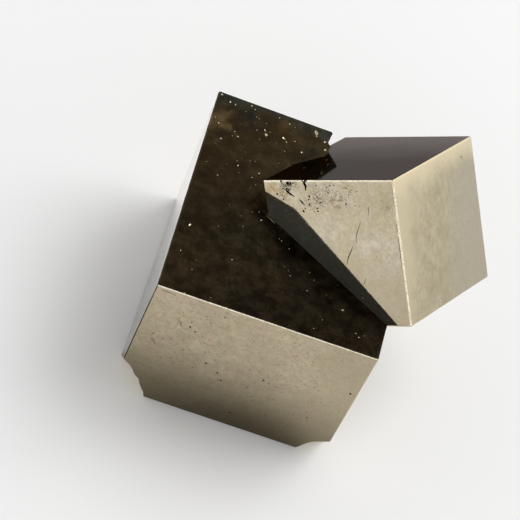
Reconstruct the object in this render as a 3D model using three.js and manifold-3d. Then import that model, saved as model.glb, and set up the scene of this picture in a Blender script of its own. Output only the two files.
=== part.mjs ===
// Pyrite specimen: two intergrown cuboid crystals.
// A large crystal lies flat on one of its faces, and a small crystal, turned about all three axes,
// grows out of its top, right and rear faces.
//
// Units are millimetres and +Z is up. While the pieces are made, the origin is the large crystal's
// upper front left corner: X runs along its front edge, Y runs back along its left edge. The group
// at the end moves the whole specimen, so that the origin is the centre of its footprint.

import * as THREE from 'three';
import { mergeVertices } from 'three/addons/utils/BufferGeometryUtils.js';
import Module from 'manifold-3d';

// Large crystal: its size, and how far its front face and rear left corner are out of square. The
// rear left edge also leans, so that its foot is further in than its head.
const LARGE_WIDTH = 39.2;
const LARGE_LENGTH = 42.9;
const LARGE_HEIGHT = 33.9;
const FRONT_SKEW = 0.37;
const REAR_LEFT_INSET = 0.26;
const REAR_LEFT_LEAN = 1;

// Small crystal: its size, the place of its upper near corner, and its turn in degrees about
// Z, then Y, then X. Its own axes are right, back and up out of its top face.
const SMALL_WIDTH = 25.2;
const SMALL_LENGTH = 29.75;
const SMALL_HEIGHT = 25.55;
const SMALL_CORNER = new THREE.Vector3(30.8, 21.65, 19.95);
const SMALL_TURN = { z: -8.5, y: -39.35, x: -29.9 };

// Clearance between the large crystal's socket and the small crystal that fills it.
const SOCKET_GAP = 0.3;

// The broken lip: right of this line the thin edge of the large crystal over the small one's top
// face has snapped off. The line runs from the rear face forward, as points in plan.
const LIP_BREAK = [[20.8, 44.5], [21.4, 42.3], [21.1, 40.6], [21.7, 39.6], [21.2, 37.4], [21.4, 35]];
const LIP_REACH = 60;
const LIP_DEPTH = 30;

// Shell-shaped chips off the large crystal's lower front corners: each scoop is a ball squashed to
// these half sizes, with its centre outside the corner.
const CHIPS = [
  { centre: [-25.1, -1, -LARGE_HEIGHT - 12.3], half: [33.7, 13.4, 33.7] },
  { centre: [LARGE_WIDTH + 4.5, -1, -LARGE_HEIGHT - 3.4], half: [10.4, 6, 10.4] },
];
const CHIP_DETAIL = 6;

const PYRITE = { color: 0xb8ab8a, metalness: 1, roughness: 0.3, flatShading: true };
const TARNISHED_PYRITE = { color: 0x6e6350, metalness: 1, roughness: 0.4, flatShading: true };

const wasm = await Module();
wasm.setup();

/** A closed three.js geometry as a solid that can be joined and cut. */
function toSolid(geometry) {
  const bare = geometry.clone();
  bare.deleteAttribute('normal');
  bare.deleteAttribute('uv');
  const merged = mergeVertices(bare, 1e-4);
  return new wasm.Manifold(new wasm.Mesh({
    numProp: 3,
    vertProperties: new Float32Array(merged.attributes.position.array),
    triVerts: new Uint32Array(merged.index.array),
  }));
}

/** A solid back as a three.js geometry. */
function toGeometry(solid) {
  const mesh = solid.getMesh();
  const geometry = new THREE.BufferGeometry();
  geometry.setAttribute('position', new THREE.BufferAttribute(new Float32Array(mesh.vertProperties), 3));
  geometry.setIndex(new THREE.BufferAttribute(new Uint32Array(mesh.triVerts), 1));
  geometry.computeVertexNormals();
  return geometry;
}

/** The small crystal's own axes and upper near corner, as a matrix. */
function smallPlacement() {
  const turn = new THREE.Euler(
    THREE.MathUtils.degToRad(SMALL_TURN.x),
    THREE.MathUtils.degToRad(SMALL_TURN.y),
    THREE.MathUtils.degToRad(SMALL_TURN.z),
    'ZYX',
  );
  return new THREE.Matrix4().makeRotationFromEuler(turn).setPosition(SMALL_CORNER);
}

/** The small crystal's box, grown by a clearance on every side. */
function smallBox(clearance) {
  const box = new THREE.BoxGeometry(
    SMALL_WIDTH + 2 * clearance,
    SMALL_LENGTH + 2 * clearance,
    SMALL_HEIGHT + 2 * clearance,
  );
  box.translate(-SMALL_WIDTH / 2, SMALL_LENGTH / 2, -SMALL_HEIGHT / 2);
  return box.applyMatrix4(smallPlacement());
}

/** The large crystal before it is chipped, broken or cut: a slightly out-of-square block. */
function largeBlock() {
  const block = new THREE.BoxGeometry(LARGE_WIDTH, LARGE_LENGTH, LARGE_HEIGHT);
  block.translate(LARGE_WIDTH / 2, LARGE_LENGTH / 2, -LARGE_HEIGHT / 2);
  const corner = block.attributes.position;
  for (let i = 0; i < corner.count; i += 1) {
    const across = corner.getX(i) / LARGE_WIDTH;
    const back = corner.getY(i) / LARGE_LENGTH;
    const down = -corner.getZ(i) / LARGE_HEIGHT;
    const inset = REAR_LEFT_INSET + REAR_LEFT_LEAN * down;
    corner.setY(i, corner.getY(i) + FRONT_SKEW * (2 * across - 1) * (1 - back));
    corner.setX(i, corner.getX(i) + inset * back * (1 - across));
  }
  return block;
}

/** The thin edge over the small crystal's top face that has snapped off, as a solid to cut away. */
function brokenLip() {
  const plan = LIP_BREAK.map(([x, y]) => new THREE.Vector2(x, y));
  const front = plan[plan.length - 1];
  const outline = new THREE.Shape([
    ...plan,
    new THREE.Vector2(LIP_REACH, front.y),
    new THREE.Vector2(LIP_REACH, plan[0].y),
  ]);
  const column = new THREE.ExtrudeGeometry(outline, { depth: 2 * LIP_DEPTH, bevelEnabled: false });
  column.translate(0, 0, -LIP_DEPTH);
  const aboveTop = new THREE.BoxGeometry(2 * LIP_REACH, 2 * LIP_REACH, LIP_DEPTH);
  aboveTop.translate(0, 0, LIP_DEPTH / 2).applyMatrix4(smallPlacement());
  return toSolid(column).intersect(toSolid(aboveTop));
}

/** One chip's scoop. */
function chipScoop({ centre, half }) {
  const ball = new THREE.IcosahedronGeometry(1, CHIP_DETAIL);
  ball.scale(...half).translate(...centre);
  return toSolid(ball);
}

function largeCrystal() {
  let solid = toSolid(largeBlock()).subtract(brokenLip());
  for (const chip of CHIPS) solid = solid.subtract(chipScoop(chip));
  solid = solid.subtract(toSolid(smallBox(SOCKET_GAP)));
  const mesh = new THREE.Mesh(toGeometry(solid), new THREE.MeshStandardMaterial(TARNISHED_PYRITE));
  mesh.name = 'large_crystal';
  return mesh;
}

function smallCrystal() {
  const mesh = new THREE.Mesh(toGeometry(toSolid(smallBox(0))), new THREE.MeshStandardMaterial(PYRITE));
  mesh.name = 'small_crystal';
  return mesh;
}

/** The specimen, moved so that its origin is the centre of its footprint, on the surface it lies on. */
function specimen() {
  const group = new THREE.Group();
  group.add(largeCrystal(), smallCrystal());
  const bounds = new THREE.Box3().setFromObject(group);
  const centre = bounds.getCenter(new THREE.Vector3());
  group.position.set(-centre.x, -centre.y, LARGE_HEIGHT);
  return group;
}

export default specimen();
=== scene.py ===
"""Pyrite specimen: two intergrown cuboid crystals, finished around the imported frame.

Each crystal is a class that cuts its own solid: a slightly worn block, then its chips, broken lip,
cracks and pits. Lengths are millimetres in each crystal's own axes until the piece is finished, when
the mesh is put in its place in the frame, in metres.
"""

import logging
import math
import random
from dataclasses import dataclass, field
from enum import Enum

import bmesh
import bpy
from mathutils import Euler, Matrix, Vector, noise


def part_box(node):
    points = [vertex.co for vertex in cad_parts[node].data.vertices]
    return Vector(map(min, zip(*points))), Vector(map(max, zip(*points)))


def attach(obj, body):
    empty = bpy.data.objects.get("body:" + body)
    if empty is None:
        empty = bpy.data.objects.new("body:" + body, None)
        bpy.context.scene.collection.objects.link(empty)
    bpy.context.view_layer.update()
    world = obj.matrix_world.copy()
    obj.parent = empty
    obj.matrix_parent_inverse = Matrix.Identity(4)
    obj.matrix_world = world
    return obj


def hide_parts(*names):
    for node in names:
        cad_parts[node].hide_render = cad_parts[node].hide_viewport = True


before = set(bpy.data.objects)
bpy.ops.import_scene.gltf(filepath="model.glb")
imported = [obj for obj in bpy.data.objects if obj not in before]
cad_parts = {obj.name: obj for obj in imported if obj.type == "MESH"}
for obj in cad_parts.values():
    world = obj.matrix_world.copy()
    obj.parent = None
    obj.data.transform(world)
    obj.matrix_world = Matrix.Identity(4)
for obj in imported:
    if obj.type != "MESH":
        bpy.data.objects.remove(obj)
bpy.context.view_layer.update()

LOG = logging.getLogger("pyrite")
MM = 0.001
LARGE_NODE = "large_crystal"
SMALL_NODE = "small_crystal"

Pair = tuple[float, float]
Point = tuple[float, float, float]
Rgba = tuple[float, float, float, float]
Socket = bpy.types.NodeSocket


# ---- Small tools ----


def linear(code: str) -> Rgba:
    """Turns an sRGB hex colour into a linear one.

    Args:
        code: the colour as "#rrggbb".

    Returns:
        Red, green, blue and an alpha of 1.
    """
    parts = [int(code[i:i + 2], 16) / 255 for i in (1, 3, 5)]
    bent = [c / 12.92 if c <= 0.04045 else ((c + 0.055) / 1.055) ** 2.4 for c in parts]
    return (bent[0], bent[1], bent[2], 1.0)


def add_node(
    tree: bpy.types.NodeTree, kind: str, settings: dict | None = None, inputs: dict | None = None
) -> bpy.types.Node:
    """Adds one node with its settings, values and links.

    Args:
        tree: the node tree.
        kind: the node's type name.
        settings: the node's own settings by name.
        inputs: values or output sockets, by input name or number.

    Returns:
        The node.
    """
    node = tree.nodes.new(kind)
    for name, value in (settings or {}).items():
        setattr(node, name, value)
    for key, value in (inputs or {}).items():
        if isinstance(value, Socket):
            tree.links.new(value, node.inputs[key])
        else:
            node.inputs[key].default_value = value
    return node


def as_object(name: str, bm: bmesh.types.BMesh, materials: list[bpy.types.Material]) -> bpy.types.Object:
    """Makes an object in the scene out of a bmesh, which is freed.

    Args:
        name: the object's name.
        bm: its shape.
        materials: its material slots.

    Returns:
        The object.
    """
    bmesh.ops.recalc_face_normals(bm, faces=bm.faces)
    mesh = bpy.data.meshes.new(name)
    for material in materials:
        mesh.materials.append(material)
    bm.to_mesh(mesh)
    bm.free()
    piece = bpy.data.objects.new(name, mesh)
    bpy.context.scene.collection.objects.link(piece)
    return piece


def make_prism(bm: bmesh.types.BMesh, face: bmesh.types.BMFace, way: Point) -> None:
    """Makes a prism out of one face.

    Args:
        bm: the bmesh that it belongs to.
        face: the face, which becomes one end.
        way: from that end to the other.
    """
    made = bmesh.ops.extrude_face_region(bm, geom=[face])["geom"]
    bmesh.ops.translate(bm, vec=way, verts=[v for v in made if isinstance(v, bmesh.types.BMVert)])


def direction(azimuth: float, elevation: float) -> Vector:
    """Turns two angles into a direction.

    Args:
        azimuth: degrees from the rear, towards the right.
        elevation: degrees up.

    Returns:
        A vector of length 1.
    """
    turn, rise = math.radians(azimuth), math.radians(elevation)
    return Vector((math.sin(turn) * math.cos(rise), math.cos(turn) * math.cos(rise), math.sin(rise)))


def carve(piece: bpy.types.Object, cutter: bpy.types.Object) -> None:
    """Cuts one object out of another; the cut surfaces keep the cutter's material.

    Args:
        piece: the object that is cut.
        cutter: the shape to take away, which is removed afterwards.
    """
    cut = piece.modifiers.new("cut", "BOOLEAN")
    cut.operation = "DIFFERENCE"
    cut.solver = "EXACT"
    cut.material_mode = "TRANSFER"
    cut.object = cutter
    graph = bpy.context.evaluated_depsgraph_get()
    mesh = bpy.data.meshes.new_from_object(piece.evaluated_get(graph), depsgraph=graph)
    piece.modifiers.clear()
    before = piece.data
    piece.data = mesh
    bpy.data.meshes.remove(before)
    tool = cutter.data
    bpy.data.objects.remove(cutter)
    bpy.data.meshes.remove(tool)


# ---- Where the crystals are ----


@dataclass(frozen=True)
class Layout:
    """The crystals' places, from the frame and the turn between them.

    The large crystal's own axes start at its upper front left corner: X along its front edge, Y back,
    Z up. The small crystal's start at its upper near corner: X right, Y back, Z out of its top face.

    Attributes:
        large_size: width, length and height of the large crystal.
        front_skew: how far each end of its front face is turned out of square.
        rear_left_inset: how far its rear left corner is drawn in.
        rear_left_lean: how much further in that corner's foot is.
        small_size: width, length and height of the small crystal.
        small_corner: its upper near corner, in the large crystal's axes.
        small_turn: its turn about X, Y and Z, in degrees.
    """

    large_size: Point = (39.2, 42.9, 33.9)
    front_skew: float = 0.37
    rear_left_inset: float = 0.26
    rear_left_lean: float = 1.0
    small_size: Point = (25.2, 29.75, 25.55)
    small_corner: Point = (30.8, 21.65, 19.95)
    small_turn: Point = (-29.9, -39.35, -8.5)

    def large(self) -> Matrix:
        """Finds the large crystal's axes in the frame.

        Returns:
            A matrix from its axes in millimetres to the frame in metres.
        """
        low, high = (Vector(corner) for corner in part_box(LARGE_NODE))
        corner = Vector((low.x, low.y + self.front_skew * MM, high.z))
        return Matrix.Translation(corner) @ Matrix.Scale(MM, 4)

    def small_in_large(self) -> Matrix:
        """The small crystal's axes in the large one's."""
        turn = Euler([math.radians(a) for a in self.small_turn], "XYZ").to_matrix().to_4x4()
        return Matrix.Translation(self.small_corner) @ turn

    def small(self) -> Matrix:
        """The small crystal's axes in the frame, millimetres to metres."""
        return self.large() @ self.small_in_large()


# ---- Finishes ----


class Growth(Enum):
    """Which way a face's fine growth lines run, along the crystal's own axes."""

    NONE = (1.0, 1.0, 1.0)
    ALONG_X = (0.05, 1.0, 1.0)
    ALONG_Z = (1.0, 1.0, 0.05)


@dataclass(frozen=True)
class StainOrLight:
    """A patch on a face: rust or thicker film, and elsewhere painted shade, painted sheen and painted
    reflection.

    Attributes:
        centre: its middle, in the crystal's axes.
        reach: its radius.
        colour: its colour.
        strength: how much of the face it hides, 0 to 1.
        dots: size of the dots that it breaks up into, or 0 for a smooth one.
        ragged: how uneven its outline is, as a share of its radius.
    """

    centre: Point
    reach: float
    colour: str
    strength: float
    dots: float = 0.0
    ragged: float = 0.8


@dataclass(frozen=True)
class Shade:
    """A slow change of tone across a face, such as a thicker film towards one side; some are painted
    shade.

    Attributes:
        start: where it begins, in the crystal's axes.
        end: where it is full.
        colour: the tone at the end.
        strength: how much of the face it hides at the end, 0 to 1.
        wander: how uneven its front is, as a share of its length.
    """

    start: Point
    end: Point
    colour: str
    strength: float
    wander: float = 0.1


@dataclass(frozen=True)
class PyriteFinish:
    """One kind of pyrite surface, as grown, tarnished or broken.

    Attributes:
        name: the material's name.
        metal: the colour that the clean metal reflects.
        patches: colours of the film over it, each with its patch size and how much shows.
        roughness: lowest and highest.
        growth: the way of its fine growth lines.
        growth_depth: their depth.
        streaks: colour and share of the streaks that run the same way.
        waviness: how far the face swells and dips.
        grain: depth of its finest grain.
        speckle: colour and share of its fine specks.
        stains_and_light: patches of rust or of thicker film, and patches of painted shade, sheen and
            reflection.
        shades: slow changes of tone, some of them painted shade.
        grazing: tint of its shine at a low angle, white for a clean metal.
        metallic: 1 for bare metal, 0 for rust.
        lustre: strength of the shine of what isn't metal.
    """

    name: str
    metal: str
    patches: tuple[tuple[str, float, float], ...]
    roughness: Pair
    growth: Growth = Growth.NONE
    growth_depth: float = 0.0
    streaks: tuple[str, float] = ("#000000", 0.0)
    waviness: float = 0.004
    grain: float = 0.002
    speckle: tuple[str, float] = ("#3a2f22", 0.0)
    stains_and_light: tuple[StainOrLight, ...] = ()
    shades: tuple[Shade, ...] = ()
    grazing: str = "#ffffff"
    metallic: float = 1.0
    lustre: float = 0.5


# Sizes of the patterns that every finish draws on, in millimetres.
STREAK_WIDTH = 1.1
SPECK_SIZE = 0.35
SWELL_SIZE = 9.0
GRAIN_SIZE = 0.5
LINE_SPACING = 0.45
GLOSS_PATCH = 2.2
SHADE_LOBE = 6.0
# A patch's lobes, for rust and painted light alike, and where it starts to show and where it is full, as
# shares of its radius.
SPOT_LOBE = 0.45
SPOT_EDGE = (1.4, 0.35)
# Noise values that become 0 and 1: wide apart for a soft pattern, close together for a crisp one.
FULL_RANGE = (0.0, 1.0)
SOFT_RANGE = (0.3, 0.7)
LINE_RANGE = (0.35, 0.65)
PATCH_RANGE = (0.36, 0.66)
STREAK_RANGE = (0.4, 0.64)
DOT_RANGE = (0.46, 0.62)
# Specks appear where the noise is near its top; the more of them, the lower it starts.
SPECK_RANGE = (0.66, 0.74)
SPECK_SPREAD = 0.1
# How a pattern's offset moves it along each axis, and the steps between one film's patches and the next.
OFFSET_WAY = (1.0, 0.7, -1.0)
PATCH_STEP = 3.1


class PyriteMaterial:
    """Builds one pyrite finish as a material, in a crystal's own axes and millimetres."""

    def __init__(self, finish: PyriteFinish, place: Matrix) -> None:
        """Starts the material.

        Args:
            finish: what it looks like.
            place: the crystal's axes in the frame.
        """
        self.finish = finish
        self.material = bpy.data.materials.new(finish.name)
        self.material.use_nodes = True
        self.tree = self.material.node_tree
        self.tree.nodes.clear()
        where, turn, size = place.decompose()
        coords = add_node(self.tree, "ShaderNodeTexCoord")
        self.place = add_node(
            self.tree,
            "ShaderNodeMapping",
            {"vector_type": "TEXTURE"},
            {
                "Vector": coords.outputs["Object"],
                "Location": where,
                "Rotation": turn.to_euler(),
                "Scale": size,
            },
        ).outputs["Vector"]

    def pattern(
        self, size: float, low: float, high: float, detail: float = 4.0, roughness: float = 0.55,
        stretch: Growth = Growth.NONE, offset: float = 0.0
    ) -> Socket:
        """A patchy natural pattern.

        Args:
            size: the patches' size.
            low: the noise value that gives 0.
            high: the noise value that gives 1.
            detail: octaves of finer patches.
            roughness: how strong the finer ones are.
            stretch: which way the patches are drawn out.
            offset: moves the pattern to an unlike place.

        Returns:
            A value from 0 to 1.
        """
        shift = tuple(offset * way for way in OFFSET_WAY)
        moved = add_node(
            self.tree,
            "ShaderNodeMapping",
            {"vector_type": "POINT"},
            {"Vector": self.place, "Location": shift, "Scale": stretch.value},
        )
        cloud = add_node(
            self.tree,
            "ShaderNodeTexNoise",
            {},
            {"Vector": moved.outputs[0], "Scale": 1 / size, "Detail": detail, "Roughness": roughness},
        )
        return self.between(cloud.outputs["Fac"], low, high)

    def between(self, value: Socket, low: float, high: float) -> Socket:
        """Maps low to 0 and high to 1, held in that range with soft ends.

        Args:
            value: the value to map.
            low: what gives 0.
            high: what gives 1.

        Returns:
            The mapped value.
        """
        return add_node(
            self.tree,
            "ShaderNodeMapRange",
            {"interpolation_type": "SMOOTHSTEP"},
            {"Value": value, "From Min": low, "From Max": high},
        ).outputs["Result"]

    def times(self, a: Socket, b: Socket | float) -> Socket:
        """One mask within another, or a mask's strength."""
        return add_node(self.tree, "ShaderNodeMath", {"operation": "MULTIPLY"}, {0: a, 1: b}).outputs[0]

    def plus(self, a: Socket, b: Socket | float) -> Socket:
        """Two heights together."""
        return add_node(self.tree, "ShaderNodeMath", {"operation": "ADD"}, {0: a, 1: b}).outputs[0]

    def cover(self, under: Socket | Rgba, over: Rgba, share: Socket) -> Socket:
        """Lays one colour over another where a mask says.

        Args:
            under: the colour below.
            over: the colour on top.
            share: how much of the top one shows.

        Returns:
            The colour.
        """
        return add_node(
            self.tree, "ShaderNodeMix", {"data_type": "RGBA"}, {"Factor": share, 6: under, 7: over}
        ).outputs[2]

    def stain_or_light_mask(self, spot: StainOrLight) -> Socket:
        """Where a patch of rust, film or painted light shows: a round patch with an uneven edge.

        Args:
            spot: the patch of rust, film or painted light.

        Returns:
            How much of it shows, from 0 to its strength.
        """
        away = add_node(
            self.tree, "ShaderNodeVectorMath", {"operation": "DISTANCE"}, {0: self.place, 1: spot.centre}
        ).outputs["Value"]
        uneven = self.pattern(spot.reach * SPOT_LOBE, *SOFT_RANGE, offset=spot.reach)
        reach = self.plus(away, self.times(uneven, spot.reach * spot.ragged))
        start, full = (spot.reach * share for share in SPOT_EDGE)
        mask = self.times(self.between(reach, start, full), spot.strength)
        if spot.dots:
            mask = self.times(mask, self.pattern(spot.dots, *DOT_RANGE, detail=3.0, offset=spot.reach))
        return mask

    def shade_mask(self, shade: Shade) -> Socket:
        """Where a shade shows: nothing before its start, full past its end.

        Args:
            shade: the shade.

        Returns:
            How much of it shows, from 0 to its strength.
        """
        start, end = Vector(shade.start), Vector(shade.end)
        along = (end - start).normalized()
        reach = add_node(
            self.tree, "ShaderNodeVectorMath", {"operation": "DOT_PRODUCT"}, {0: self.place, 1: along}
        ).outputs["Value"]
        wander = (end - start).length * shade.wander
        uneven = self.times(self.pattern(SHADE_LOBE, *SOFT_RANGE, offset=7.0), wander)
        front = self.plus(reach, uneven)
        return self.times(self.between(front, along @ start, along @ end), shade.strength)

    def colour(self) -> Socket:
        """Lays the film's patches, streaks, shades, patches of rust and of painted light, and specks over
        the metal.

        Returns:
            The colour.
        """
        look = self.finish
        colour: Socket | Rgba = linear(look.metal)
        for index, (tone, size, share) in enumerate(look.patches, start=1):
            mask = self.pattern(size, *PATCH_RANGE, detail=6.0, roughness=0.6, offset=PATCH_STEP * index)
            colour = self.cover(colour, linear(tone), self.times(mask, share))
        tone, share = look.streaks
        streaks = self.pattern(
            STREAK_WIDTH, *STREAK_RANGE, detail=5.0, roughness=0.6, stretch=look.growth, offset=4.4
        )
        colour = self.cover(colour, linear(tone), self.times(streaks, share))
        for shade in look.shades:
            colour = self.cover(colour, linear(shade.colour), self.shade_mask(shade))
        for spot in look.stains_and_light:
            colour = self.cover(colour, linear(spot.colour), self.stain_or_light_mask(spot))
        tone, share = look.speckle
        low, high = SPECK_RANGE
        specks = self.pattern(
            SPECK_SIZE, low - SPECK_SPREAD * share, high, detail=2.0, roughness=0.4, offset=9.0
        )
        return self.cover(colour, linear(tone), self.times(specks, min(1.0, share * 2)))

    def relief(self) -> Socket:
        """Adds up the face's swell, its grain and its growth lines.

        Returns:
            The bumped normal.
        """
        look = self.finish
        swell = self.times(self.pattern(SWELL_SIZE, *FULL_RANGE, detail=1.0, offset=1.7), look.waviness)
        fine = self.pattern(GRAIN_SIZE, *FULL_RANGE, detail=5.0, roughness=0.6, offset=5.0)
        height = self.plus(swell, self.times(fine, look.grain))
        if look.growth is not Growth.NONE:
            lines = self.pattern(LINE_SPACING, *LINE_RANGE, detail=3.0, stretch=look.growth, offset=2.2)
            height = self.plus(height, self.times(lines, look.growth_depth))
        return add_node(
            self.tree,
            "ShaderNodeBump",
            {},
            {"Height": self.times(height, MM), "Distance": 1.0, "Strength": 1.0},
        ).outputs[0]

    def gloss(self) -> Socket:
        """Varies the roughness in patches.

        Returns:
            The roughness.
        """
        low, high = self.finish.roughness
        patches = self.pattern(GLOSS_PATCH, *SOFT_RANGE, detail=6.0, roughness=0.65, offset=7.3)
        return add_node(
            self.tree, "ShaderNodeMapRange", {}, {"Value": patches, "To Min": low, "To Max": high}
        ).outputs["Result"]

    def build(self) -> bpy.types.Material:
        """Makes the material.

        Returns:
            The material.
        """
        look = self.finish
        shader = add_node(
            self.tree,
            "ShaderNodeBsdfPrincipled",
            {},
            {
                "Base Color": self.colour(),
                "Normal": self.relief(),
                "Roughness": self.gloss(),
                "Metallic": look.metallic,
                "Specular IOR Level": look.lustre,
                "Specular Tint": linear(look.grazing),
            },
        )
        add_node(self.tree, "ShaderNodeOutputMaterial", {}, {"Surface": shader.outputs[0]})
        return self.material


# Pyrite, as grown, under a thin brown-black film of iron oxide: dark, with a dull gloss. It also carries
# painted shade at the small crystal's foot, a painted dark reflection beside it and a painted sheen on
# the broken lip.
TARNISHED_AND_SHADED_FACE = PyriteFinish(
    name="pyrite_face_oxide_film_and_painted_shade",
    metal="#3b3327",
    patches=(("#2f271c", 6.0, 0.5), ("#4d402c", 1.6, 0.3), ("#31322b", 9.0, 0.35), ("#5b4a30", 0.6, 0.3)),
    roughness=(0.14, 0.24),
    speckle=("#6a5837", 0.15),
    shades=(
        Shade((0.0, 18.0, 0.0), (0.0, 36.0, 0.0), "#5d4e35", 0.6, 0.25),
        Shade((10.0, 0.0, 0.0), (0.0, 0.0, 0.0), "#4a3d28", 0.5, 0.4),
        Shade((21.0, 20.0, 0.0), (36.0, 4.0, 0.0), "#1e1710", 0.7, 0.2),
        Shade((10.0, 40.2, 0.0), (10.0, 43.4, 0.0), "#4c524b", 0.7, 0.3),
    ),
    stains_and_light=(
        StainOrLight((1.6, 36.6, 0.0), 4.6, "#907955", 0.7),
        StainOrLight((13.6, 40.2, 0.0), 3.2, "#6b5330", 0.6),
        StainOrLight((6.8, 39.6, 0.0), 3.0, "#393e3c", 0.7),
        StainOrLight((0.8, 41.6, 0.0), 3.0, "#3e423c", 0.7),
        StainOrLight((3.0, 33.1, 0.0), 1.2, "#33373a", 0.6),
        StainOrLight((18.4, 36.4, 0.0), 2.6, "#2f322d", 0.6),
        # Painted shade: dark patches along the small crystal's foot.
        StainOrLight((20.5, 18.0, 0.0), 6.0, "#1a140c", 0.75, ragged=0.4),
        StainOrLight((29.0, 13.0, 0.0), 5.0, "#1a140c", 0.6, ragged=0.4),
        # Painted reflection: a near-black patch beside the small crystal.
        StainOrLight((13.2, 22.6, 0.0), 2.6, "#0d0a06", 0.85, ragged=0.3),
        # Painted sheen: a pale blue-grey patch on the broken lip.
        StainOrLight((20.9, 41.5, 0.0), 1.8, "#566062", 0.75),
    ),
    grazing="#666a6c",
)

# Pyrite, as grown, nearly clean: a pale brassy grey mirror, clouded here and there, with painted shade
# darkening it towards its foot for the shadowed floor that it mirrors there.
FRONT_FACE = PyriteFinish(
    name="pyrite_face_clouded_and_painted_shade",
    metal="#d0c4a7",
    patches=(
        ("#b8a690", 7.0, 0.6), ("#b8a08d", 2.2, 0.5), ("#a9a481", 4.0, 0.5), ("#9b8a6d", 0.9, 0.45),
        ("#c6baa5", 0.4, 0.35),
    ),
    roughness=(0.12, 0.22),
    growth=Growth.ALONG_Z,
    growth_depth=0.0006,
    streaks=("#a3987f", 0.1),
    waviness=0.005,
    speckle=("#5b4b36", 0.3),
    shades=(
        Shade((20.0, 0.0, -6.0), (39.0, 0.0, -6.0), "#a99c83", 0.6),
        # Painted shade: darker towards the foot, for the shadowed floor that the face mirrors there.
        Shade((3.0, 0.0, -9.0), (1.0, 0.0, -31.0), "#7b725a", 0.8, 0.04),
        Shade((16.0, 0.0, -19.0), (16.0, 0.0, -38.0), "#29230f", 0.4, 0.04),
    ),
    stains_and_light=(
        StainOrLight((3.0, 0.0, -16.4), 2.2, "#8d7350", 0.55, 0.7),
        # Painted shade: darkest at the middle of the foot.
        StainOrLight((21.0, 0.0, -39.0), 14.0, "#2c2516", 0.5, ragged=0.12),
        StainOrLight((6.0, 0.0, -9.5), 5.0, "#94856a", 0.35, 0.5),
    ),
)

# Pyrite, as grown, its cool near white a painted reflection of the bright floor that it mirrors at a low
# angle, and greyer towards its lower front with painted shade for the shadowed floor that it mirrors
# there.
LEFT_FACE = PyriteFinish(
    name="pyrite_face_satin_and_painted_light",
    metal="#f2efe9",
    patches=(("#dedad2", 6.0, 0.5), ("#d2cdc4", 1.8, 0.35)),
    roughness=(0.1, 0.2),
    grain=0.0015,
    speckle=("#6b5f4c", 0.1),
    # Painted shade: greyer towards the lower front.
    shades=(Shade((0.0, 24.0, -4.0), (0.0, 2.0, -26.0), "#8e8880", 0.85),),
)

# Pyrite, as grown, almost a mirror: it shows the dark top beside it, with rust by its upper edge and
# painted shade darkening its lower part for the shadowed floor that it mirrors.
NEAR_FACE = PyriteFinish(
    name="pyrite_face_polished_and_painted_shade",
    metal="#e4dac5",
    patches=(("#c6b794", 5.0, 0.5), ("#b9ae9a", 1.4, 0.4), ("#d3c59f", 2.6, 0.45), ("#a0927a", 0.5, 0.3)),
    roughness=(0.02, 0.045),
    waviness=0.002,
    grain=0.0005,
    speckle=("#75654d", 0.22),
    # Painted shade: darker towards the lower part.
    shades=(Shade((0.0, 0.0, -8.0), (0.0, 0.0, -25.0), "#b5a78d", 0.75),),
    stains_and_light=(
        StainOrLight((-1.6, 0.0, -4.0), 4.4, "#b3a47e", 0.4),
        StainOrLight((-22.8, 0.0, -1.8), 3.0, "#bda777", 0.6),
        StainOrLight((-23.0, 0.0, -1.4), 1.8, "#9c7a4c", 0.6, 0.4),
        StainOrLight((-21.3, 0.0, -2.5), 1.6, "#6e4c2b", 0.7, 0.4),
        StainOrLight((-20.8, 0.0, -1.1), 1.7, "#2b1c10", 0.95, 0.45),
        StainOrLight((-19.4, 0.0, -0.5), 1.5, "#57401f", 0.85, 0.35),
        StainOrLight((-15.0, 0.0, -3.2), 3.4, "#6f5f47", 0.8, 0.4),
        StainOrLight((-11.4, 0.0, -2.8), 3.6, "#77664b", 0.8, 0.45),
        StainOrLight((-8.6, 0.0, -1.8), 2.6, "#85744f", 0.6, 0.4),
        StainOrLight((-1.7, 0.0, -4.6), 1.6, "#7f6a48", 0.5, 0.6),
    ),
)

# Pyrite, as grown, smooth: an even sheen, a shade browner in the middle than at its edges.
RIGHT_FACE = PyriteFinish(
    name="pyrite_face_smooth",
    metal="#b6ab8f",
    patches=(("#988c6e", 6.0, 0.5), ("#c3b89a", 2.2, 0.45), ("#8f8266", 0.8, 0.35)),
    roughness=(0.05, 0.1),
    waviness=0.003,
    grain=0.0008,
    speckle=("#6b5b42", 0.1),
    shades=(
        Shade((0.0, 13.0, -8.0), (0.0, 27.0, -12.0), "#a8a18f", 0.7),
        Shade((0.0, 9.0, -8.0), (0.0, -2.0, -5.0), "#cdc09f", 0.8, 0.3),
        Shade((0.0, 14.0, -4.5), (0.0, 14.0, 0.5), "#dccdab", 0.9, 0.3),
    ),
    stains_and_light=(
        StainOrLight((0.0, 25.0, -2.6), 0.5, "#6e5c3f", 0.7),
        StainOrLight((0.0, 6.2, -16.2), 0.8, "#5f4e36", 0.7, 0.3),
    ),
)

# Pyrite with the faint parallel ridges that it grows with: dark purplish grey and streaky, lighter
# towards its rear.
STRIATED_FACE = PyriteFinish(
    name="pyrite_face_striated_dark",
    metal="#332e2e",
    patches=(("#2d2827", 4.0, 0.5),),
    roughness=(0.03, 0.06),
    growth=Growth.ALONG_X,
    growth_depth=0.0008,
    streaks=("#443e3f", 0.7),
    waviness=0.002,
    grain=0.0004,
    shades=(Shade((0.0, 12.0, 0.0), (0.0, 31.0, 0.0), "#8a807f", 0.85),),
    grazing="#b4b1af",
)

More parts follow.
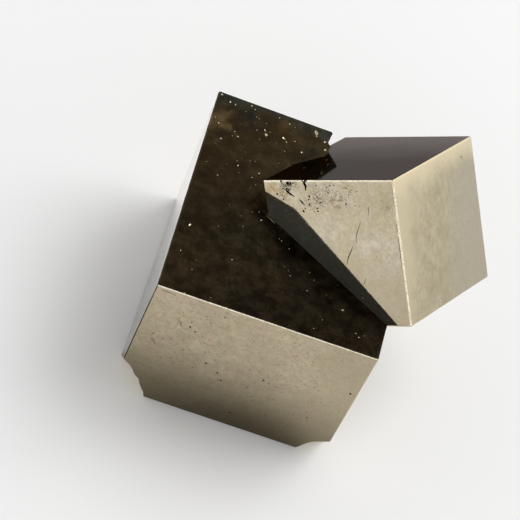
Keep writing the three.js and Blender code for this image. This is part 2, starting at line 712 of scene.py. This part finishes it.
# Faces away from the light: the same metal, long weathered to a brownish grey with a broken shine.
SIDE_FACE = PyriteFinish(
    name="pyrite_face_weathered",
    metal="#c2b79c",
    patches=(("#ac9f84", 7.0, 0.6), ("#998b6f", 2.4, 0.4), ("#aaa196", 3.6, 0.4)),
    roughness=(0.12, 0.26),
    growth=Growth.ALONG_Z,
    growth_depth=0.0015,
    streaks=("#8f8369", 0.18),
    waviness=0.006,
    speckle=("#4a3c2a", 0.2),
)

# Pyrite edges without film, their metal painted near white as a painted highlight, so that they show as
# thin cream lines.
HIGHLIGHT_EDGE = PyriteFinish(
    name="pyrite_edge_painted_highlight",
    metal="#f6eedb",
    patches=(("#e3d8be", 1.2, 0.6), ("#85775c", 0.5, 0.5)),
    roughness=(0.12, 0.3),
    waviness=0.0,
    grain=0.004,
)

# Pyrite where it has broken: bright, uneven metal with no film.
FRESH_BREAK = PyriteFinish(
    name="pyrite_fresh_break",
    metal="#cfc5a8",
    patches=(("#a79b7f", 1.2, 0.6), ("#8a7d62", 0.6, 0.4)),
    roughness=(0.2, 0.42),
    waviness=0.0,
    grain=0.02,
)

# Limonite, the rust that fills pyrite's cracks and pits: earthy and dull. On the large crystal's front
# left and top left edges it is painted shade, thin dark lines along them.
LIMONITE_AND_EDGE_SHADE = PyriteFinish(
    name="limonite_in_cracks_and_edge_shade",
    metal="#140e09",
    patches=(("#2b1c0f", 0.4, 0.5),),
    roughness=(0.7, 0.9),
    waviness=0.0,
    grain=0.02,
    metallic=0.0,
    lustre=0.12,
)


# ---- Crystals ----


# How fast the finer bumps of a break fade, how much finer each is than the last, and how many there are.
BREAK_BUMPS = (0.7, 2.0, 4)
# Angle between two faces, in radians, that makes an edge of the block, and the least share of a face's
# direction that puts a rounded edge on that face.
EDGE_ANGLE = 0.8
EDGE_SHARE = 0.25
EDGE_SEGMENTS = 4
# Where an edge is worn: the usual share, then how far it varies in patches and in grains of these sizes.
WEAR = 0.5
WEAR_PATCHES = ((0.5, 1.3), (0.35, 0.35))
# Width of a crack's ends, as a share of the width of the rest.
CRACK_TIP = 0.35
# How lumpy pits and nicks are, and how far apart pits stay, as shares of their radius.
PIT_LUMPS = 0.25
PIT_SPACE = 3.0
NICK_LUMPS = 0.3
# A nick's length along its edge, where it may lie in its stretch, and how far outside the edge it is.
NICK_LENGTH = 1.8
NICK_PLACE = (0.2, 0.8)
NICK_OUT = (0.15, 0.4)
# Points closer than this are one, in millimetres.
MERGE_GAP = 1e-5


@dataclass(frozen=True)
class Scoop:
    """A shell-shaped chip: a ball squashed to its half sizes, rippled about where it was struck.

    Attributes:
        centre: the ball's centre.
        half: its half sizes.
        ripple: height of the ripples.
        ripple_length: distance from one ripple to the next.
        bump: height of the rough bumps over them.
        bump_length: size of the largest bumps.
        detail: how finely the ball is divided.
    """

    centre: Point
    half: Point
    ripple: float = 0.12
    ripple_length: float = 2.0
    bump: float = 0.192
    bump_length: float = 1.6
    detail: int = 5

    def add_to(self, bm: bmesh.types.BMesh) -> None:
        """Adds the scoop's shape to a bmesh.

        Args:
            bm: where it goes.
        """
        made = bmesh.ops.create_icosphere(bm, subdivisions=self.detail, radius=1.0)["verts"]
        bmesh.ops.scale(bm, vec=self.half, verts=made)
        bmesh.ops.translate(bm, vec=self.centre, verts=made)
        middle = Vector(self.centre)
        strike = middle + Vector((0.0, 0.0, -self.half[2]))
        for vert in made:
            out = (vert.co - middle).normalized()
            wave = math.sin(math.tau * (vert.co - strike).length / self.ripple_length)
            rough = noise.fractal(vert.co / self.bump_length, *BREAK_BUMPS)
            vert.co += out * (self.ripple * wave + self.bump * rough)


@dataclass(frozen=True)
class Crack:
    """A thin open crack on a face: its path in the face's plane, its width and its depth."""

    path: tuple[Pair, ...]
    width: float
    depth: float = 0.5


@dataclass(frozen=True)
class Pit:
    """A small pit or glint: its place in a face's plane, its radius, its length and its turn."""

    place: Pair
    radius: float
    longer: float = 1.0
    turn: float = 0.0


def pits_at(rows: tuple[tuple[float, ...], ...]) -> list[Pit]:
    """Pits from rows: place across and along, radius, and length and turn where they aren't round."""
    return [Pit((across, along), *shape) for across, along, *shape in rows]


class Face(Enum):
    """A block's faces, by their outward direction in its own axes."""

    RIGHT = (1, 0, 0)
    LEFT = (-1, 0, 0)
    REAR = (0, 1, 0)
    FRONT = (0, -1, 0)
    TOP = (0, 0, 1)
    BOTTOM = (0, 0, -1)

    @property
    def normal(self) -> Vector:
        """The outward direction."""
        return Vector(self.value)


@dataclass
class Crystal:
    """What both crystals share: a worn block that is then cut.

    Attributes:
        node: the CAD node that it stands for.
        slot: the name of its material slot; not used.
        low: the block's low corner in its own axes.
        high: its high corner.
        place: its own axes in the frame.
        finishes: the finish of each face.
        edge_order: faces whose finish wins along a shared edge, first to last.
        edge_finishes: finishes of its own for the edge that two faces share.
        cuts: how many times each edge is divided.
        edge_width: width of the worn edges.
        edge_wear: how unevenly they are worn.
        seed: for its random nicks.
    """

    node: str
    slot: str
    low: Point
    high: Point
    place: Matrix
    finishes: dict[Face, PyriteFinish]
    edge_order: tuple[Face, ...]
    edge_finishes: dict[frozenset[Face], PyriteFinish] = field(default_factory=dict)
    cuts: int = 36
    edge_width: float = 0.32
    edge_wear: float = 0.06
    seed: int = 3

    def __post_init__(self) -> None:
        """Makes the crystal's materials and its random source."""
        own = [*self.finishes.values(), *self.edge_finishes.values()]
        wanted = dict.fromkeys([*own, FRESH_BREAK, LIMONITE_AND_EDGE_SHADE])
        self.materials = {f.name: PyriteMaterial(f, self.place).build() for f in wanted}
        self.slots = list(self.materials)
        self.random = random.Random(self.seed)
        self.piece: bpy.types.Object | None = None

    def out_of_square(self, bm: bmesh.types.BMesh) -> None:
        """Leaves the block square; a crystal that is out of true bends it here.

        Args:
            bm: the block.
        """

    def make_block(self) -> None:
        """Makes the block with its worn edges."""
        bm = bmesh.new()
        low, high = Vector(self.low), Vector(self.high)
        bmesh.ops.create_cube(bm, size=1.0)
        bmesh.ops.scale(bm, vec=high - low, verts=bm.verts)
        bmesh.ops.translate(bm, vec=(low + high) / 2, verts=bm.verts)
        for face in bm.faces:
            nearest = max(Face, key=lambda f: f.normal @ face.normal)
            face.material_index = self.slots.index(self.finishes[nearest].name)
        bmesh.ops.subdivide_edges(bm, edges=bm.edges[:], cuts=self.cuts, use_grid_fill=True)
        self.out_of_square(bm)
        bm.normal_update()
        corners = [e for e in bm.edges if e.calc_face_angle(0.0) > EDGE_ANGLE]
        worn = bmesh.ops.bevel(
            bm, geom=corners, offset=self.edge_width, offset_type="OFFSET", segments=EDGE_SEGMENTS,
            profile=0.5, affect="EDGES", material=-1, clamp_overlap=True
        )
        bm.normal_update()
        rounded = set(worn["faces"])
        for face in rounded:
            face.smooth = True
            nearby = [f for f in self.edge_order if f.normal @ face.normal > EDGE_SHARE]
            if nearby:
                finish = self.edge_finishes.get(frozenset(nearby), self.finishes[nearby[0]])
                face.material_index = self.slots.index(finish.name)
        for vert in {v for f in rounded for v in f.verts}:
            if all(f in rounded for f in vert.link_faces):
                wear = WEAR + sum(share * noise.noise(vert.co / size) for share, size in WEAR_PATCHES)
                vert.co -= vert.normal * self.edge_wear * max(0.0, wear)
        self.piece = as_object(self.node + "_finished", bm, list(self.materials.values()))

    def take_away(self, bm: bmesh.types.BMesh, finish: PyriteFinish, smooth: bool = True) -> None:
        """Cuts a shape out of the crystal.

        Args:
            bm: the shape, which is freed.
            finish: the finish of the surfaces that it leaves.
            smooth: whether those surfaces are shaded smooth.
        """
        for face in bm.faces:
            face.smooth = smooth
        carve(self.piece, as_object("cutter", bm, [self.materials[finish.name]]))

    def chip(self, scoops: tuple[Scoop, ...]) -> None:
        """Breaks chips off it.

        Args:
            scoops: the chips, which don't touch each other.
        """
        bm = bmesh.new()
        for scoop in scoops:
            scoop.add_to(bm)
        self.take_away(bm, FRESH_BREAK)

    def on_face(self, face: Face) -> Matrix:
        """A matrix from a face's plane, with its normal as Z, to the crystal's axes.

        Args:
            face: the face.

        Returns:
            The matrix; its X and Y are the crystal's two other axes, in order.
        """
        axis = next(i for i in range(3) if face.value[i])
        level = (self.high if face.value[axis] > 0 else self.low)[axis]
        across, along = [Vector([float(i == j) for j in range(3)]) for i in range(3) if i != axis]
        turn = Matrix((across, along, face.normal)).transposed().to_4x4()
        return Matrix.Translation(face.normal * abs(level) if level else (0, 0, 0)) @ turn

    def crack(self, face: Face, cracks: tuple[Crack, ...], finish: PyriteFinish | None = None) -> None:
        """Opens thin cracks in a face.

        Args:
            face: the face.
            cracks: the cracks, which don't touch each other.
            finish: the finish inside them, limonite if none is given.
        """
        bm = bmesh.new()
        for crack in cracks:
            path = [Vector(p) for p in crack.path]
            left, right = [], []
            for i, point in enumerate(path):
                way = (path[min(i + 1, len(path) - 1)] - path[max(i - 1, 0)]).normalized()
                side = Vector((-way.y, way.x)) * crack.width / 2
                taper = CRACK_TIP if i in (0, len(path) - 1) else 1.0
                left.append(bm.verts.new((*(point + side * taper), crack.width)))
                right.append(bm.verts.new((*(point - side * taper), crack.width)))
            mouth = bm.faces.new([*left, *reversed(right)])
            make_prism(bm, mouth, (0.0, 0.0, -crack.depth - crack.width))
        bm.transform(self.on_face(face))
        self.take_away(bm, finish or LIMONITE_AND_EDGE_SHADE, smooth=False)

    def pit(self, face: Face, pits: list[Pit], finish: PyriteFinish, depth: float = 0.6) -> None:
        """Sinks small pits in a face.

        Args:
            face: the face.
            pits: the pits, which don't touch each other.
            finish: the finish inside them.
            depth: how deep they are, as a share of their radius.
        """
        bm = bmesh.new()
        for pit in pits:
            made = bmesh.ops.create_icosphere(bm, subdivisions=2, radius=pit.radius)["verts"]
            for vert in made:
                lump = noise.noise(Vector((*pit.place, 0.0)) + vert.co / pit.radius)
                vert.co *= 1.0 + PIT_LUMPS * lump
            bmesh.ops.scale(bm, vec=(1.0, pit.longer, depth), verts=made)
            bmesh.ops.rotate(bm, matrix=Matrix.Rotation(pit.turn, 3, "Z"), verts=made)
            bmesh.ops.translate(bm, vec=(*pit.place, 0.0), verts=made)
        bm.transform(self.on_face(face))
        self.take_away(bm, finish, smooth=False)

    def scatter(
        self, count: int, low: Pair, high: Pair,
        radius: Pair, taken: list[Pit]
    ) -> list[Pit]:
        """Random pits that keep clear of each other; most are small.

        Args:
            count: how many are tried.
            low: the low corner of where they lie in the face's plane.
            high: its high corner.
            radius: smallest and largest.
            taken: pits that are there already.

        Returns:
            The new pits.
        """
        made: list[Pit] = []
        for _ in range(count):
            x = self.random.uniform(low[0], high[0])
            y = self.random.uniform(low[1], high[1])
            size = radius[0] + (radius[1] - radius[0]) * self.random.random() ** 3
            longer = self.random.choice((1.0, 1.0, 1.3, 1.8))
            turn = self.random.uniform(0.0, math.pi)
            others = [*taken, *made]
            if all(math.dist((x, y), pit.place) >= PIT_SPACE * (size + pit.radius) for pit in others):
                made.append(Pit((x, y), size, longer, turn))
        return made

    def nick_edges(self, per_edge: int, radius: Pair, spare: float = 1.5) -> None:
        """Takes small nicks out of the block's twelve edges; most are small.

        Args:
            per_edge: how many on each edge.
            radius: the smallest and largest.
            spare: length left alone at each end of an edge.
        """
        bm = bmesh.new()
        low, high = Vector(self.low), Vector(self.high)
        for axis in range(3):
            others = [i for i in range(3) if i != axis]
            for side_a in (low, high):
                for side_b in (low, high):
                    room = (high[axis] - low[axis] - 2 * spare) / per_edge
                    for i in range(per_edge):
                        size = radius[0] + (radius[1] - radius[0]) * self.random.random() ** 2
                        middle = Vector((0, 0, 0))
                        middle[axis] = low[axis] + spare + room * (i + self.random.uniform(*NICK_PLACE))
                        out = Vector((0, 0, 0))
                        for other, side in zip(others, (side_a, side_b)):
                            middle[other] = side[other]
                            out[other] = 1.0 if side is high else -1.0
                        middle += out * size * self.random.uniform(*NICK_OUT)
                        ball = bmesh.ops.create_icosphere(bm, subdivisions=2, radius=size)["verts"]
                        for vert in ball:
                            vert.co *= 1.0 + NICK_LUMPS * noise.noise(middle + vert.co / size)
                        shape = [NICK_LENGTH if j == axis else 1.0 for j in range(3)]
                        bmesh.ops.scale(bm, vec=shape, verts=ball)
                        bmesh.ops.translate(bm, vec=middle, verts=ball)
        self.take_away(bm, FRESH_BREAK)

    def put_in_frame(self) -> bpy.types.Object:
        """Moves the finished mesh to its place, hides the CAD part that it stands for and hangs it under
        the root body.

        Returns:
            The finished piece.
        """
        mesh = self.piece.data
        bm = bmesh.new()
        bm.from_mesh(mesh)
        bmesh.ops.remove_doubles(bm, verts=bm.verts, dist=MERGE_GAP)
        bmesh.ops.dissolve_degenerate(bm, edges=bm.edges, dist=MERGE_GAP)
        bm.transform(self.place)
        bm.to_mesh(mesh)
        bm.free()
        mesh.update()
        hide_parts(self.node)
        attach(self.piece, "root")
        LOG.info("%s: %d faces", self.piece.name, len(mesh.polygons))
        return self.piece


@dataclass
class LargeCrystal(Crystal):
    """The large crystal: dark on top, pale in front, chipped at its lower front corners.

    Attributes:
        layout: where both crystals are.
        socket_gap: clearance between the socket and the small crystal.
        lip_break: the broken lip's line in plan, from the rear face forward.
        lip_reach: how far right of the origin the lip is cleared.
        lip_floor: how far down it is cleared.
        lip_height: height of what is cleared.
    """

    layout: Layout = field(default_factory=Layout)
    socket_gap: float = 0.02
    lip_break: tuple[Pair, ...] = (
        (20.9, 44.5), (21.0, 43.2), (21.5, 42.4), (21.2, 41.7), (21.3, 41.0), (21.0, 40.4), (21.4, 39.9),
        (21.8, 39.5), (21.4, 38.9), (21.6, 38.2), (21.2, 37.4), (21.4, 35.0),
    )
    lip_reach: float = 60.0
    lip_floor: float = -20.0
    lip_height: float = 30.0

    def out_of_square(self, bm: bmesh.types.BMesh) -> None:
        """Turns the front face a little, and draws the rear left edge in, most at its foot.

        Args:
            bm: the block.
        """
        width, length, height = self.high[0], self.high[1], -self.low[2]
        for vert in bm.verts:
            across, back, down = vert.co.x / width, vert.co.y / length, -vert.co.z / height
            inset = self.layout.rear_left_inset + self.layout.rear_left_lean * down
            vert.co.y += self.layout.front_skew * (2 * across - 1) * (1 - back)
            vert.co.x += inset * back * (1 - across)

    def on_face(self, face: Face) -> Matrix:
        """As for any crystal, but following the turned front face.

        Args:
            face: the face.

        Returns:
            The matrix from its plane to the crystal's axes.
        """
        level = super().on_face(face)
        if face is not Face.FRONT:
            return level
        turned = Matrix.Identity(4)
        turned[1][0] = 2 * self.layout.front_skew / self.high[0]
        turned[1][3] = -self.layout.front_skew
        return turned @ level

    def break_lip(self) -> None:
        """Snaps off the thin edge that would lie over the small crystal's top face."""
        bm = bmesh.new()
        rear, front = self.lip_break[0][1], self.lip_break[-1][1]
        plan = [*self.lip_break, (self.lip_reach, front), (self.lip_reach, rear)]
        floor = bm.faces.new([bm.verts.new((x, y, self.lip_floor)) for x, y in plan])
        make_prism(bm, floor, (0.0, 0.0, self.lip_height))
        top = self.layout.small_in_large()
        bmesh.ops.bisect_plane(
            bm, geom=[*bm.verts, *bm.edges, *bm.faces], plane_co=top.translation,
            plane_no=top.to_3x3() @ Vector((0, 0, 1)), clear_inner=True
        )
        bmesh.ops.holes_fill(bm, edges=[e for e in bm.edges if e.is_boundary], sides=0)
        self.take_away(bm, FRESH_BREAK, smooth=False)

    def cut_socket(self) -> None:
        """Makes room for the small crystal."""
        width, length, height = self.layout.small_size
        gap = self.socket_gap
        bm = bmesh.new()
        bmesh.ops.create_cube(bm, size=1.0)
        bmesh.ops.scale(bm, vec=(width + 2 * gap, length + 2 * gap, height + 2 * gap), verts=bm.verts)
        bmesh.ops.translate(bm, vec=(-width / 2, length / 2, -height / 2), verts=bm.verts)
        bm.transform(self.layout.small_in_large())
        self.take_away(bm, FRESH_BREAK, smooth=False)

    def build(self) -> bpy.types.Object:
        """Makes the large crystal.

        Returns:
            The finished piece.
        """
        right, foot = self.high[0], self.low[2]
        self.make_block()
        self.chip((
            Scoop((-25.1, -1.0, foot - 12.3), (33.7, 13.4, 33.7), detail=6),
            Scoop((right + 4.5, -1.0, foot - 3.4), (10.4, 6.0, 10.4)),
        ))
        self.break_lip()
        self.cut_socket()
        self.nick_edges(per_edge=7, radius=(0.08, 0.3))
        glints = pits_at((
            (10.4, 37.2, 0.25, 1.3, 0.4), (10.0, 38.0, 0.11, 2.4, 0.4), (13.5, 37.8, 0.22, 1.5, 0.8),
            (14.1, 37.2, 0.12, 1.8, 0.8), (18.7, 41.4, 0.3, 1.6, 0.3), (18.9, 40.7, 0.12, 1.8, 0.6),
            (20.6, 40.1, 0.2, 1.2), (21.0, 38.5, 0.2, 1.2), (17.2, 36.2, 0.2), (3.1, 33.1, 0.2),
            (1.9, 36.1, 0.18), (5.8, 34.7, 0.15), (5.0, 35.5, 0.1), (1.0, 42.2, 0.2), (2.8, 41.3, 0.19),
            (3.8, 41.1, 0.15), (6.6, 42.1, 0.16), (7.3, 41.6, 0.12), (13.8, 41.2, 0.15),
            (15.5, 38.0, 0.12), (7.2, 28.8, 0.16), (11.1, 28.8, 0.16), (10.1, 27.4, 0.11),
            (14.3, 35.2, 0.1), (2.3, 13.5, 0.17, 2.0, -0.5),
        ))
        glints += self.scatter(40, low=(1.0, 24.0), high=(19.5, 42.0), radius=(0.05, 0.11), taken=glints)
        glints += self.scatter(46, low=(0.8, 0.8), high=(38.4, 24.0), radius=(0.05, 0.15), taken=glints)
        self.pit(Face.TOP, glints, FRESH_BREAK)
        self.crack(Face.TOP, (
            Crack(((14.1, 20.95), (15.2, 20.35), (16.2, 19.8)), 0.16, 0.05),
            Crack(((16.6, 19.55), (17.4, 19.15)), 0.11, 0.05),
            Crack(((18.2, 18.65), (19.2, 18.15)), 0.1, 0.05),
        ), FRESH_BREAK)
        self.pit_front()
        return self.put_in_frame()

    def pit_front(self) -> None:
        """Sinks the front face's pits, fine cracks and scratches."""
        self.crack(Face.FRONT, (
            Crack(((0.9, -0.7), (1.7, -0.95), (2.4, -0.95), (3.6, -1.1)), 0.16, 0.2),
            Crack(((5.7, -7.6), (6.3, -8.2), (6.6, -8.8), (6.5, -9.3)), 0.13, 0.2),
            Crack(((25.3, -17.5), (26.1, -17.6), (27.2, -17.5)), 0.1, 0.12),
            Crack(((3.0, -15.6), (3.6, -16.3), (4.0, -16.9)), 0.12, 0.12),
        ))
        marks = pits_at((
            (13.3, -17.5, 0.21), (15.8, -19.2, 0.18), (16.9, -21.0, 0.2), (21.5, -20.4, 0.13),
            (23.5, -16.8, 0.18, 1.2), (24.6, -17.3, 0.14), (37.9, -12.2, 0.22, 1.2),
            (21.0, -29.7, 0.18), (12.7, -2.7, 0.16), (22.9, -2.9, 0.12), (26.2, -3.2, 0.12),
            (9.2, -9.5, 0.16, 1.2), (8.1, -8.6, 0.15, 1.8), (2.9, -13.9, 0.16), (4.7, -14.5, 0.12),
            (6.1, -13.9, 0.12), (9.9, -4.2, 0.12), (18.9, -6.5, 0.12), (8.7, -15.9, 0.13),
            (33.4, -23.5, 0.14),
        ))
        marks += self.scatter(60, low=(1.0, -25.0), high=(37.5, -1.4), radius=(0.05, 0.11), taken=marks)
        self.pit(Face.FRONT, marks, LIMONITE_AND_EDGE_SHADE, depth=2.5)


@dataclass
class SmallCrystal(Crystal):
    """The small crystal: bright, with a darker striated top, cracks and rust by its left corner."""

    def build(self) -> bpy.types.Object:
        """Makes the small crystal.

        Returns:
            The finished piece.
        """
        self.make_block()
        self.nick_edges(per_edge=5, radius=(0.06, 0.22))
        self.crack(Face.FRONT, (
            Crack(((-16.95, 0.3), (-17.1, -0.5), (-16.85, -1.0), (-17.0, -1.8)), 0.46, 0.8),
            Crack(((-21.9, 0.3), (-21.5, -0.5), (-20.95, -0.75)), 0.14, 0.2),
            Crack(((-20.75, -1.25), (-20.65, -1.9), (-20.1, -2.35), (-19.3, -2.85)), 0.36, 0.6),
            Crack(((-18.4, -3.3), (-18.0, -3.8), (-17.55, -4.35)), 0.32, 0.5),
            Crack(((-5.2, -4.4), (-5.35, -5.2), (-5.6, -6.2)), 0.1, 0.1),
            Crack(((-7.2, -7.2), (-7.75, -8.4), (-8.35, -9.6), (-8.5, -10.9)), 0.12, 0.1),
            Crack(((-9.2, -11.4), (-9.9, -12.6), (-10.5, -13.6), (-10.9, -14.8)), 0.17, 0.2),
            Crack(((-7.6, -17.1), (-7.9, -17.8), (-8.2, -18.2)), 0.12, 0.1),
            Crack(((-0.42, -0.9), (-0.42, -4.6)), 0.08, 0.1),
            Crack(((-0.45, -7.6), (-0.45, -9.0)), 0.17, 0.3),
            Crack(((-0.42, -9.7), (-0.4, -12.0), (-0.42, -15.2)), 0.13, 0.2),
            Crack(((-0.42, -15.7), (-0.42, -17.6)), 0.1, 0.1),
        ))
        pits = pits_at((
            (-20.3, -0.5, 0.26, 1.2, 0.9), (-19.75, -0.55, 0.2, 1.5, 0.2),
            (-20.7, -0.95, 0.13, 1.6, 0.4), (-19.25, -0.5, 0.13, 1.4, 1.2), (-18.7, -0.7, 0.12),
            (-21.5, -3.3, 0.17), (-22.6, -2.4, 0.15, 1.6, 0.9), (-22.0, -2.1, 0.1), (-23.2, -1.5, 0.09),
            (-16.4, -2.8, 0.17, 1.2), (-16.6, -3.4, 0.14), (-17.1, -3.5, 0.1), (-16.6, -4.2, 0.17),
            (-17.5, -4.9, 0.13), (-17.9, -5.4, 0.17, 1.7, 0.3), (-15.2, -4.9, 0.15),
            (-15.1, -5.4, 0.15, 1.2), (-15.8, -5.5, 0.12), (-14.4, -3.9, 0.15),
            (-12.7, -2.2, 0.13, 1.3, 0.2), (-14.9, -2.9, 0.14, 1.4, 0.4), (-12.2, -0.9, 0.13),
            (-11.4, -0.9, 0.12), (-14.8, -0.9, 0.12), (-9.5, -4.1, 0.15), (-9.1, -1.4, 0.13, 1.2),
        ))
        pits += self.scatter(150, low=(-15.6, -4.8), high=(-7.0, -0.8), radius=(0.04, 0.1), taken=pits)
        pits += self.scatter(26, low=(-24.0, -20.0), high=(-1.0, -1.0), radius=(0.03, 0.08), taken=pits)
        self.pit(Face.FRONT, pits, LIMONITE_AND_EDGE_SHADE, depth=2.0)
        return self.put_in_frame()


# ---- Studio ----


@dataclass(frozen=True)
class Flag:
    """A dark card in the studio, which the mirror faces pick up.

    Attributes:
        azimuth: the way to it, in degrees from the rear, towards the right.
        elevation: its height, in degrees.
        inner: how far from its middle it is fully dark, in degrees.
        outer: where it ends, in degrees.
        level: the share of the light that it lets through.
    """

    azimuth: float
    elevation: float
    inner: float
    outer: float
    level: float

    @property
    def way(self) -> Vector:
        """Its direction from the specimen."""
        return direction(self.azimuth, self.elevation)


@dataclass
class Studio:
    """The pale floor, the soft light, the dark cards and the camera."""

    layout: Layout
    floor_half: float = 4.0
    floor_colour: str = "#f0f0f0"
    floor_roughness: float = 0.9
    floor_shine: float = 0.1
    sky_level: float = 1.23
    flags: tuple[Flag, ...] = (Flag(0.0, 90.0, 28.0, 60.0, 0.04),)
    key_power: float = 11.3
    key_way: Point = (0.4, 0.27, 0.87)
    key_distance: float = 1.4
    key_size: float = 0.9
    camera_azimuth: float = 8.66
    camera_elevation: float = 53.76
    camera_roll: float = 26.76
    camera_distance: float = 0.55
    camera_aim: Point = (16.87, 21.4, -13.6)
    lens: float = 219.16
    sensor: float = 36.0
    clip_start: float = 0.02

    def build_floor(self) -> None:
        """Lays the pale floor."""
        bm = bmesh.new()
        bmesh.ops.create_grid(bm, x_segments=1, y_segments=1, size=self.floor_half)
        paper = bpy.data.materials.new("paper_matt_white")
        paper.use_nodes = True
        shader = paper.node_tree.nodes["Principled BSDF"]
        shader.inputs["Base Color"].default_value = linear(self.floor_colour)
        shader.inputs["Roughness"].default_value = self.floor_roughness
        shader.inputs["Specular IOR Level"].default_value = self.floor_shine
        as_object("floor", bm, [paper])

    def build_sky(self) -> None:
        """Surrounds the specimen with soft light, less the dark cards."""
        world = bpy.data.worlds.new("studio")
        world.use_nodes = True
        tree = world.node_tree
        tree.nodes.clear()
        way = add_node(tree, "ShaderNodeTexCoord").outputs["Generated"]
        level: Socket | float = self.sky_level
        for flag in self.flags:
            near = add_node(
                tree, "ShaderNodeVectorMath", {"operation": "DOT_PRODUCT"}, {0: way, 1: flag.way}
            )
            dark = add_node(
                tree,
                "ShaderNodeMapRange",
                {"interpolation_type": "SMOOTHSTEP"},
                {
                    "Value": near.outputs["Value"],
                    "From Min": math.cos(math.radians(flag.outer)),
                    "From Max": math.cos(math.radians(flag.inner)),
                    "To Min": 1.0,
                    "To Max": flag.level,
                },
            )
            level = add_node(
                tree, "ShaderNodeMath", {"operation": "MULTIPLY"}, {0: level, 1: dark.outputs["Result"]}
            ).outputs[0]
        light = add_node(tree, "ShaderNodeBackground", {}, {"Color": (1, 1, 1, 1), "Strength": level})
        add_node(tree, "ShaderNodeOutputWorld", {}, {"Surface": light.outputs[0]})
        bpy.context.scene.world = world

    def build_key(self) -> None:
        """Hangs the soft box overhead, a little to the right."""
        lamp = bpy.data.lights.new("key", "AREA")
        lamp.energy = self.key_power
        lamp.size = self.key_size
        way = Vector(self.key_way).normalized()
        holder = bpy.data.objects.new("key", lamp)
        holder.location = way * self.key_distance
        holder.rotation_euler = way.to_track_quat("Z", "Y").to_euler()
        bpy.context.scene.collection.objects.link(holder)

    def build_camera(self) -> None:
        """Puts the camera where it looks down on the specimen."""
        way = direction(self.camera_azimuth, self.camera_elevation)
        back = Vector((-way.x, -way.y, way.z))
        level = Matrix.Identity(3)
        right = Vector((0, 0, 1)).cross(back).normalized()
        level.col[0], level.col[1], level.col[2] = right, back.cross(right), back
        look = level @ Matrix.Rotation(math.radians(self.camera_roll), 3, "Z")
        aim = self.layout.large() @ Vector(self.camera_aim)
        lens = bpy.data.cameras.new("camera")
        lens.lens = self.lens
        lens.sensor_width = self.sensor
        lens.clip_start = self.clip_start
        camera = bpy.data.objects.new("camera", lens)
        camera.matrix_world = Matrix.Translation(aim + back * self.camera_distance) @ look.to_4x4()
        bpy.context.scene.collection.objects.link(camera)
        bpy.context.scene.camera = camera

    def build(self) -> None:
        """Makes the whole studio."""
        self.build_floor()
        self.build_sky()
        self.build_key()
        self.build_camera()
        bpy.context.scene.view_settings.view_transform = "Standard"


def main() -> None:
    """Builds the crystals and the studio from the layout's sizes."""
    logging.basicConfig(level=logging.INFO, format="%(name)s: %(message)s")
    layout = Layout()
    Studio(layout).build()
    width, length, height = layout.large_size
    LargeCrystal(
        node=LARGE_NODE,
        slot="tarnished_pyrite",
        low=(0.0, 0.0, -height),
        high=(width, length, 0.0),
        place=layout.large(),
        finishes={
            Face.TOP: TARNISHED_AND_SHADED_FACE, Face.FRONT: FRONT_FACE, Face.LEFT: LEFT_FACE,
            Face.RIGHT: SIDE_FACE, Face.REAR: SIDE_FACE, Face.BOTTOM: SIDE_FACE,
        },
        edge_order=(Face.FRONT, Face.LEFT, Face.TOP),
        edge_finishes={
            # Painted shade: thin dark lines along the front left and top left edges.
            frozenset({Face.FRONT, Face.LEFT}): LIMONITE_AND_EDGE_SHADE,
            frozenset({Face.LEFT, Face.TOP}): LIMONITE_AND_EDGE_SHADE,
            # Painted highlight along the front top edge.
            frozenset({Face.FRONT, Face.TOP}): HIGHLIGHT_EDGE,
        },
        layout=layout,
    ).build()
    width, length, height = layout.small_size
    SmallCrystal(
        node=SMALL_NODE,
        slot="bright_pyrite",
        low=(-width, 0.0, -height),
        high=(0.0, length, 0.0),
        place=layout.small(),
        finishes={
            Face.TOP: STRIATED_FACE, Face.FRONT: NEAR_FACE, Face.RIGHT: RIGHT_FACE,
            Face.LEFT: SIDE_FACE, Face.REAR: SIDE_FACE, Face.BOTTOM: SIDE_FACE,
        },
        edge_order=(Face.RIGHT, Face.FRONT, Face.TOP),
        edge_finishes={
            # Painted highlights along the near face's top and right edges.
            frozenset({Face.FRONT, Face.TOP}): HIGHLIGHT_EDGE,
            frozenset({Face.FRONT, Face.RIGHT}): HIGHLIGHT_EDGE,
        },
        seed=8,
    ).build()


if __name__ == "__main__":
    main()
